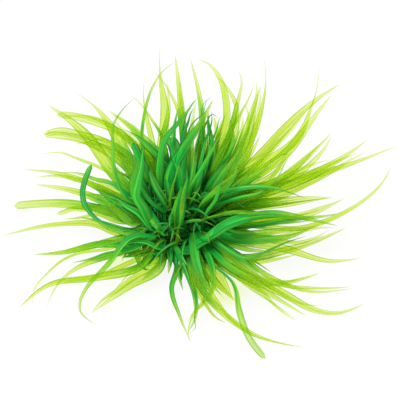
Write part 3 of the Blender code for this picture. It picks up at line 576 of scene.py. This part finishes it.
# For each leaf material: the green near the crown, the colour of light in the blade and of what lies behind,
# and how much of both there is near the crown and far from it
LOOKS = {
    "leaf_green": {
        "near": "inner", "glow": (0.60, 0.88, 0.04, 1), "glow_near": 0.30, "glow_far": 0.45,
        "through_deep": (0.30, 0.80, 0.15, 1), "through": (0.83, 0.935, 0.35, 1),
        "through_pale": (0.96, 0.98, 0.76, 1), "open_near": 0.34, "open_far": 0.95},
    "inner_leaf_green": {
        "near": "deep", "glow": (0.15, 0.70, 0.05, 1), "glow_near": 0.20, "glow_far": 0.40,
        "through_deep": (0.20, 0.80, 0.20, 1), "through": (0.40, 0.85, 0.20, 1),
        "through_pale": (0.70, 0.92, 0.30, 1), "open_near": 0.10, "open_far": 0.70},
}


def shoot_material(name, green):
    """Stem skin with fine lengthwise lines, darker between them and in patches."""
    bench = Bench(bpy.data.materials.new(name))
    place = bench.node("TexCoord", output="Object")
    drawn = bench.node("Mapping", {"Vector": place, "Scale": (900, 900, 120)})
    lines = bench.noise(drawn, 1.0, 3)
    patches = bench.noise(place, 220, 3)
    low = tuple(channel * 0.45 for channel in green[:3]) + (1,)
    colour = bench.blend(lines.ramp(0.35, 0.65), low, tuple(green))
    colour = bench.blend(patches.ramp(0.5, 0.75) * 0.5, colour, (0.05, 0.20, 0.03, 1))
    bump = bench.node("Bump", {"Strength": 0.4, "Distance": 0.2 * MM, "Height": lines})
    skin = bench.node("BsdfPrincipled", {
        "Base Color": colour, "Roughness": 0.4 + patches * 0.2, "Specular IOR Level": 0.3, "Normal": bump})
    return bench.finish(skin)


def floor_material(name, stage):
    """A pale floor: mostly plain white where it is seen, with a faint yellow-green glow of painted light in
    front of the crown, standing for light through the leaves, and lit as any floor elsewhere."""
    bench = Bench(bpy.data.materials.new(name))
    place = bench.node("TexCoord", output="Object")
    glow = 0
    # Painted light: a yellow-green pool round each spot, put in the floor's colour and cast by no lamp
    for spot in PAINTED_LIGHT_SPOTS:
        glow = (1 - bench.distance(place, spot).ramp(3 * MM, 9.5 * MM)) * 0.7 + glow
    pale = bench.blend(glow, WHITE, (0.88, 0.98, 0.42, 1))
    lit = bench.node("BsdfDiffuse", {"Color": stage.floor_colour})
    white = bench.node("Emission", {"Color": pale, "Strength": 1.0})
    path = bench.node("LightPath").socket.node.outputs
    seen = Wire(bench, path["Is Camera Ray"]) + Wire(bench, path["Is Glossy Ray"])
    # The plain white also shows to light that passes on through the leaves, so the floor glows into them from
    # below as a lamp would, also where the clump shades it
    seen = seen + Wire(bench, path["Is Transmission Ray"])
    share = seen.ramp(0.0, 1.0) * stage.floor_white
    return bench.finish(bench.mix(share, lit, white))


# Shapes


def unit(vectors):
    """The same directions with a length of one."""
    return vectors / np.linalg.norm(vectors, axis=-1, keepdims=True)


def smooth_rows(rows, spacing, leaving=None):
    """Rows at even steps along a smooth curve through the given ones; the first three columns are a place.

    Each span is a cubic whose slopes at its ends lie between the slopes of the neighbouring chords."""
    spans = np.linalg.norm(np.diff(rows[:, :3], axis=0), axis=1)[:, None]
    chords = np.diff(rows, axis=0) / spans
    before, after = spans[:-1], spans[1:]
    slopes = np.empty_like(rows)
    slopes[1:-1] = (chords[:-1] * after + chords[1:] * before) / (before + after)
    slopes[0] = 1.5 * chords[0] - 0.5 * slopes[1]
    slopes[-1] = 1.5 * chords[-1] - 0.5 * slopes[-2]
    if leaving is not None:
        slopes[0, :3] = leaving
    t = np.linspace(0, 1, FINE_STEPS, endpoint=False)[:, None]
    ease = 3 * t**2 - 2 * t**3
    fine = (rows[:-1, None] * (1 - ease) + rows[1:, None] * ease
            + spans[:, None] * (slopes[:-1, None] * (t**3 - 2 * t**2 + t) + slopes[1:, None] * (t**3 - t**2)))
    fine = np.vstack([fine.reshape(-1, rows.shape[1]), rows[-1:]])
    run = np.concatenate([[0], np.cumsum(np.linalg.norm(np.diff(fine[:, :3], axis=0), axis=1))])
    wanted = np.linspace(0, run[-1], max(FEWEST_STEPS, round(run[-1] / spacing)) + 1)
    return np.column_stack([np.interp(wanted, run, column) for column in fine.T])


def blade_grid(rows, form, points_round, roll, phase):
    """A thin blade along rows of (place, half width), as a grid of rings with a point at each end.

    A ring is a flat ellipse: the place across is the cosine of the turn and the place off the blade is
    its sine times half the thickness. The edges are lifted by a power of the place across, so that the
    blade is keeled, more so at the base, and wave up and down along it. A ring turns about the course by
    the roll times the share of the length, less the tilt times how far the blade runs to the right."""
    middle, half = rows[:, :3], rows[:, 3]
    along = unit(np.gradient(middle, axis=0))
    overall = (middle[-1] - middle[0]) * (1, 1, 0)
    reach = along * (1, 1, 0) + STEADYING * unit(overall)
    across = np.cross(reach, UPRIGHT)
    across = unit(across - along * (across * along).sum(axis=1, keepdims=True))
    face = np.cross(across, along)
    share = np.linspace(0, 1, len(rows))
    turn = (np.radians(roll) * share - form.tilt * along[:, 0] * np.minimum(share / TURNED_BY, 1))[:, None]
    across, face = (across * np.cos(turn) + face * np.sin(turn),
                    face * np.cos(turn) - across * np.sin(turn))
    run = np.concatenate([[0], np.cumsum(np.linalg.norm(np.diff(middle, axis=0), axis=1))])

    angle = 2 * np.pi * np.arange(points_round) / points_round
    a, side = np.cos(angle)[None, :], np.sin(angle)[None, :]
    channel = form.channel + form.wrap * np.exp(-share / WRAP_FADE)
    waving = form.ruffle * np.sin(run / RUFFLE_RUN + phase) * np.sin(np.pi * share)
    thin = form.thickness / 2 * np.sqrt(np.clip(half / half.max(), 0.02, 1))
    keel = channel[:, None] * (np.abs(a) ** KEEL_CURVE - KEEL_SINK)
    lift = half[:, None] * (keel + waving[:, None] * a * np.abs(a)) + thin[:, None] * side
    grid = middle[:, None] + across[:, None] * (half[:, None] * a)[..., None]
    grid = grid + face[:, None] * lift[..., None]
    marks = np.stack(np.broadcast_arrays(a, share[:, None], run[:, None] * 100), axis=-1)
    return np.clip(grid, BOX_LOW, BOX_HIGH), marks


def grid_faces(rings, around, first):
    """Quads between the rings of a grid and a fan to the point at each end, all facing outwards."""
    ring, point = np.meshgrid(np.arange(rings - 1), np.arange(around), indexing="ij")
    beside = (point + 1) % around
    low, high = first + ring * around, first + (ring + 1) * around
    quads = np.stack([low + point, high + point, high + beside, low + beside], axis=-1).reshape(-1, 4)
    base, tip = first + rings * around, first + rings * around + 1
    turn = np.arange(around)
    last = first + (rings - 1) * around
    fans = np.concatenate([
        np.stack([np.full(around, base), first + turn, first + (turn + 1) % around], axis=-1),
        np.stack([np.full(around, tip), last + (turn + 1) % around, last + turn], axis=-1)])
    return quads.tolist() + fans.tolist()


def blades_object(name, blades, form, material, points_round=14):
    """One mesh of closed blades. A blade is (rows of place and half width, tone, roll, phase)."""
    points, faces, marks, tones = [], [], [], []
    count = 0
    for rows, tone, roll, phase in blades:
        grid, mark = blade_grid(rows, form, points_round, roll, phase)
        rings = len(rows) - 2
        body = grid[1:-1].reshape(-1, 3)
        ends = rows[[0, -1], :3]
        points += [body, ends]
        marks += [mark[1:-1].reshape(-1, 3), mark[[0, -1], points_round // 4]]
        tones.append(np.full(len(body) + 2, tone))
        faces += grid_faces(rings, points_round, count)
        count += len(body) + 2
    mesh = bpy.data.meshes.new(name)
    mesh.from_pydata(np.vstack(points).tolist(), [], faces)
    mesh.attributes.new("blade", "FLOAT_VECTOR", "POINT").data.foreach_set("vector", np.vstack(marks).ravel())
    mesh.attributes.new("tone", "FLOAT", "POINT").data.foreach_set("value", np.concatenate(tones))
    mesh.materials.append(material)
    mesh.shade_smooth()
    made = bpy.data.objects.new(name, mesh)
    bpy.context.scene.collection.objects.link(made)
    return made


def node_points(node):
    """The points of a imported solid."""
    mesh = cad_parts[node].data
    points = np.empty(len(mesh.vertices) * 3, np.float32)
    mesh.vertices.foreach_get("co", points)
    return points.reshape(-1, 3)


def packed_rows(node, shoot):
    """Place and half width of a packed leaf at each of its sections, from its seat to its tip.

    The leaf is rings of four corners that close on a tip, the only kind of point that four edges reach
    and that is far from the shoot. Points are counted in steps along edges from the tip, so that each
    count is one ring. A ring's place is the mean of its corners, and its half width the most that one of
    them lies from it."""
    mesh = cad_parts[node].data
    places, index = np.unique(node_points(node), axis=0, return_inverse=True)
    corners = np.empty(len(mesh.loops), np.int32)
    mesh.loops.foreach_get("vertex_index", corners)
    triangles = index.reshape(-1)[corners].reshape(-1, 3)
    edges = np.unique(np.sort(triangles[:, [0, 1, 1, 2, 2, 0]].reshape(-1, 2), axis=1), axis=0)
    places = places.astype(float)
    reached_by = np.bincount(edges.ravel(), minlength=len(places))
    low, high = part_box(shoot)
    middle = (np.array(low) + np.array(high)) / 2
    far = np.where(reached_by == 4, np.linalg.norm(places[:, :2] - middle[:2], axis=1), -1)
    steps = np.full(len(places), -1)
    steps[far.argmax()] = 0
    while (steps < 0).any():
        now = steps.max()
        both = np.concatenate([edges, edges[:, ::-1]])
        found = both[steps[both[:, 0]] == now, 1]
        steps[found[steps[found] < 0]] = now + 1
    rows = []
    for step in range(steps.max(), -1, -1):
        ring = places[steps == step]
        centre = ring.mean(axis=0)
        rows.append((*centre, np.linalg.norm(ring - centre, axis=1).max()))
    return np.array(rows)


def shoot_axis(shoot):
    """Middle of a packed shoot's upper part, its radius and its top."""
    low, high = (np.array(corner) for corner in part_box(shoot))
    points = node_points(shoot)
    upper = points[points[:, 2] > (low[2] + high[2]) / 2]
    middle = (upper.min(axis=0) + upper.max(axis=0)) / 2
    return middle[:2], (upper[:, 0].max() - upper[:, 0].min()) / 2, high[2]


def leaf_halves(share, blunt):
    """Half width against the share of the length: it opens from a half to the full as a sine over the
    first 0.35, times about one less the cube of the share, which gives a long point.

    A blunt leaf has a root and a high power of the share instead, and ends in a short round."""
    opening = 0.5 + 0.5 * np.sin(np.pi / 2 * np.minimum(share / 0.35, 1))
    return opening * ((1 - share**36) ** 0.5 * (1 - 0.1 * share) if blunt else (1 - share**3) ** 1.05)


def leaf_rows(places, widest, leaving, form, blunt=False):
    """Rows of place and half width along a free leaf, kept inside the box of the solids."""
    rows = smooth_rows(places, form.row_spacing, leaving)
    half = form.fullness * widest / 2 * leaf_halves(np.linspace(0, 1, len(rows)), blunt)
    course = np.clip(rows, BOX_LOW + INSIDE_BOX, BOX_HIGH - INSIDE_BOX)
    return np.column_stack([course, np.maximum(half, LEAST_HALF)])


def traced_rows(shoot, leaf, form):
    """A leaf of the table: its heights run from the seat to the tip with an arch between, then its depth
    follows from how far up the picture each point is."""
    middle, radius, _ = shoot_axis(shoot)
    seen = np.array(leaf.seen, float).reshape(-1, 2) * MM
    seat_up = middle[1] * math.sin(SEEN_TILT) + leaf.seat * MM * math.cos(SEEN_TILT)
    run = np.cumsum(np.linalg.norm(np.diff(np.vstack([[middle[0], seat_up], seen]), axis=0), axis=1))
    share = run / run[-1]
    height = (leaf.seat * (1 - share) + leaf.tip_height * share) * MM
    height += (ARCH_SHARE * run[-1] + ARCH_HEIGHT) * np.sin(np.pi * share)
    depth = (seen[:, 1] - height * math.cos(SEEN_TILT)) / math.sin(SEEN_TILT)
    outward = unit(np.array([seen[0, 0], depth[0]]) - middle)
    start = np.array([*(middle + outward * radius * SEAT_DEPTH), leaf.seat * MM])
    leaving = np.array([*(outward * LEAVING_OUT), LEAVING_UP])
    places = np.vstack([start, np.column_stack([seen[:, 0], depth, height])])
    return leaf_rows(places, leaf.width * MM, leaving, form, leaf.blunt)


# Pieces


def settled(piece, slot, *nodes):
    """The piece rides on the clump's one body, and the solids that it stands for are hidden."""
    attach(piece, "root")
    if nodes:
        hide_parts(*nodes)


def leaf_finish(name):
    """The leaf material of that name, made once."""
    if name in bpy.data.materials:
        return bpy.data.materials[name]
    return leaf_material(name, bpy.context.scene.clump_greens, LOOKS[name])


def blade_halves(node, half, share, fineness, form):
    """Half width of a packed leaf's blade: that of its solid times the fullness, a fifth more towards the
    tip, and less by the fineness over the last third.

    A blunt one has the form of a blunt leaf instead. One that is thin below has 0.35 of its width up to
    0.42 of its length, and 0.8 of it from 0.67 on."""
    if node in BLUNT:
        half = half.max() * leaf_halves(share, True)
    if node in THIN_BELOW:
        half = half * (0.35 + 0.45 * np.clip((share - 0.42) / 0.25, 0, 1))
    fineness = 0 if node in BLUNT else WHISKER_FINENESS if node in WHISKERED else fineness
    finer = 1 - fineness * np.clip((share - 0.62 + 0.15 * fineness) / 0.3, 0, 1)
    return np.maximum(half * form.fullness * (1 + 0.2 * share) * finer, LEAST_HALF)


class CLUMP_OT_blades(bpy.types.Operator):
    """Builds a smooth blade for every packed leaf"""

    bl_idname = "clump.blades"
    bl_label = "Blades of the packed leaves"

    def execute(self, context):
        form = context.scene.clump_blade
        material = leaf_finish("leaf_green")
        chance = np.random.default_rng(BLADE_SEED)
        for node in sorted(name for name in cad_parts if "_leaf_" in name):
            shoot, number = node.split("_leaf_")
            rows = packed_rows(node, f"{shoot}_shoot")
            back = unit(rows[0, :3] - rows[1, :3]) * SET_BACK
            rows = np.vstack([[*(rows[0, :3] + back), rows[0, 3]], rows])
            rows = smooth_rows(rows, form.row_spacing)
            share = np.linspace(0, 1, len(rows))
            rows[:, 3] = blade_halves(node, rows[:, 3], share, chance.uniform(0.1, 0.4), form)
            tone = TONES[shoot].get(int(number), 0) + chance.uniform(-0.3, 0.25)
            roll, phase = chance.normal(0, BLADE_ROLL), chance.uniform(*ANY_PHASE)
            piece = blades_object(f"{node}_blade", [(rows, tone, roll, phase)], form, material)
            settled(piece, "leaf", node)
        return {"FINISHED"}


def traced_leaves(context, table, ending, seed, spread):
    """One mesh of drawn leaves for each shoot in the table."""
    form = context.scene.clump_blade
    material = leaf_finish("leaf_green")
    chance = np.random.default_rng(seed)
    for shoot, drawn in table.items():
        blades = [(traced_rows(f"{shoot}_shoot", leaf, form), leaf.tone + chance.uniform(-spread, spread),
                   chance.normal(0, DRAWN_ROLL), chance.uniform(*ANY_PHASE))
                  for leaf in (Traced(*row) for row in drawn)]
        piece = blades_object(f"{shoot}_{ending}", blades, form, material, points_round=12)
        settled(piece, "leaf")


class CLUMP_OT_more_leaves(bpy.types.Operator):
    """Builds the drawn leaves that have no solid, one mesh for each shoot"""

    bl_idname = "clump.more_leaves"
    bl_label = "More leaves"

    def execute(self, context):
        traced_leaves(context, MORE_LEAVES, "more_leaves", seed=5, spread=0.25)
        return {"FINISHED"}


class CLUMP_OT_middle_leaves(bpy.types.Operator):
    """Builds the drawn leaves of the middle, one mesh for each shoot"""

    bl_idname = "clump.middle_leaves"
    bl_label = "Middle leaves"

    def execute(self, context):
        traced_leaves(context, MIDDLE_LEAVES, "middle_leaves", seed=11, spread=0.12)
        return {"FINISHED"}


class CLUMP_OT_inner_leaves(bpy.types.Operator):
    """Builds the short leaves round every shoot, one mesh for each"""

    bl_idname = "clump.inner_leaves"
    bl_label = "Inner leaves"

    def execute(self, context):
        form, inner = context.scene.clump_blade, context.scene.clump_inner
        material = leaf_finish("inner_leaf_green")
        chance = np.random.default_rng(inner.seed)
        for shoot in SHOOTS:
            middle, radius, top = shoot_axis(f"{shoot}_shoot")
            blades = []
            for number in range(inner.for_each_shoot):
                rise = (number + 0.5) / inner.for_each_shoot
                turn = number * GOLDEN_ANGLE + chance.uniform(-0.4, 0.4)
                outward = np.array([math.cos(turn), math.sin(turn)])
                seat = LOWEST_SEAT + (top - UNSEATED) * rise
                thin = number % 3 != 1
                length = chance.uniform(inner.shortest, inner.longest) * (THIN_LENGTH if thin else 1)
                steep = 5 + 50 * rise + chance.uniform(-8, 8) + (THIN_STEEPER if thin else 0)
                steep = math.radians(steep)
                start = np.array([*(middle + outward * radius * SEAT_DEPTH), seat])
                leaving = np.array([*(outward * math.cos(steep)), math.sin(steep)])
                sideways = np.array([-outward[1], outward[0], 0]) * chance.uniform(-0.25, 0.25)
                # Straight on by the share of the length, and off sideways and down by its square
                steps = np.array([0.35, 0.7, 1.0])[:, None]
                places = start + length * (leaving * steps + sideways * steps**2
                                           - UPRIGHT * (0.30 + 0.25 * rise) * steps**2)
                places[:, 2] = np.maximum(places[:, 2], LOWEST_POINT)
                widest = (THIN_WIDTH if thin else BROAD_WIDTH - rise) * MM
                rows = leaf_rows(np.vstack([start, places]), widest, leaving, form)
                tone = chance.uniform(-0.7, 0.9) if thin else chance.normal(0.6, 0.2)
                blades.append((rows, tone, chance.normal(0, INNER_ROLL), chance.uniform(*ANY_PHASE)))
            piece = blades_object(f"{shoot}_inner_leaves", blades, form, material, points_round=10)
            settled(piece, "leaf")
        return {"FINISHED"}


class CLUMP_OT_shoots(bpy.types.Operator):
    """Gives every packed shoot its skin"""

    bl_idname = "clump.shoots"
    bl_label = "Shoots"

    def execute(self, context):
        skin = shoot_material("shoot_green", context.scene.clump_greens.shoot)
        for shoot in SHOOTS:
            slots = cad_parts[f"{shoot}_shoot"].data.materials
            slots.clear()
            slots.append(skin)
        return {"FINISHED"}


class CLUMP_OT_stage(bpy.types.Operator):
    """Builds the floor, the light and the camera"""

    bl_idname = "clump.stage"
    bl_label = "Stage"

    def execute(self, context):
        stage = context.scene.clump_stage
        side = stage.floor_size / 2
        level = -0.05 * MM
        mesh = bpy.data.meshes.new("floor")
        corners = [(-side, -side, level), (side, -side, level), (side, side, level), (-side, side, level)]
        mesh.from_pydata(corners, [], [(0, 1, 2, 3)])
        mesh.materials.append(floor_material("floor_white", stage))
        floor = bpy.data.objects.new("floor", mesh)
        context.scene.collection.objects.link(floor)
        self.light(context, stage)
        self.camera(context, stage)
        return {"FINISHED"}

    def light(self, context, stage):
        """An even sky that is seen as white, and one large soft lamp above and to the left."""
        world = bpy.data.worlds.new("sky")
        context.scene.world = world
        bench = Bench(world)
        even = bench.node("Background", {"Color": WHITE, "Strength": stage.sky_light})
        white = bench.node("Background", {"Color": WHITE, "Strength": 1.0})
        seen = bench.node("LightPath", output="Is Camera Ray")
        bench.finish(bench.mix(seen, even, white), "OutputWorld")
        lamp = bpy.data.lights.new("key", "AREA")
        lamp.shape = "DISK"
        lamp.size = 0.7
        lamp.energy = stage.key_power
        key = bpy.data.objects.new("key", lamp)
        key.location = (-0.45, -0.25, 1.1)
        key.rotation_euler = (-key.location).to_track_quat("-Z", "Y").to_euler()
        context.scene.collection.objects.link(key)

    def camera(self, context, stage):
        """A long lens at SEEN_TILT above the floor, so that the view is nearly parallel."""
        data = bpy.data.cameras.new("camera")
        data.sensor_width = 36
        data.lens = data.sensor_width * stage.distance / stage.picture_width
        data.clip_end = 100
        camera = bpy.data.objects.new("camera", data)
        target = np.array([AIM_RIGHT, AIM_UP / math.sin(SEEN_TILT) - AIM_HEIGHT, AIM_HEIGHT])
        camera.location = target + stage.distance * np.array([0, -math.cos(SEEN_TILT), math.sin(SEEN_TILT)])
        camera.rotation_euler = (math.pi / 2 - SEEN_TILT, 0, 0)
        context.scene.collection.objects.link(camera)
        context.scene.camera = camera
        context.scene.view_settings.view_transform = "Standard"


class CLUMP_PT_panel(bpy.types.Panel):
    """Lists the settings and the steps"""

    bl_idname = "CLUMP_PT_panel"
    bl_label = "Water plant clump"
    bl_space_type = "VIEW_3D"
    bl_region_type = "UI"
    bl_category = "Clump"

    def draw(self, context):
        for group in SETTINGS:
            box = self.layout.box()
            settings = getattr(context.scene, group)
            for name in settings.bl_rna.properties.keys():
                if name not in ("rna_type", "name"):
                    box.prop(settings, name)
        for step in STEPS:
            self.layout.operator(step.bl_idname)


SETTINGS = {"clump_blade": BladeForm, "clump_greens": LeafGreens, "clump_inner": InnerLeaves,
            "clump_stage": StudioStage}
STEPS = (CLUMP_OT_shoots, CLUMP_OT_blades, CLUMP_OT_more_leaves, CLUMP_OT_middle_leaves,
         CLUMP_OT_inner_leaves, CLUMP_OT_stage)


def register():
    for known in (*SETTINGS.values(), *STEPS, CLUMP_PT_panel):
        bpy.utils.register_class(known)
    for name, group in SETTINGS.items():
        setattr(bpy.types.Scene, name, bpy.props.PointerProperty(type=group))


def unregister():
    for name in SETTINGS:
        delattr(bpy.types.Scene, name)
    for known in (CLUMP_PT_panel, *STEPS, *SETTINGS.values()):
        bpy.utils.unregister_class(known)


def main():
    """Registers the add-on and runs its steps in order."""
    register()
    for step in STEPS:
        family, name = step.bl_idname.split(".")
        getattr(getattr(bpy.ops, family), name)()


if __name__ == "__main__":
    main()
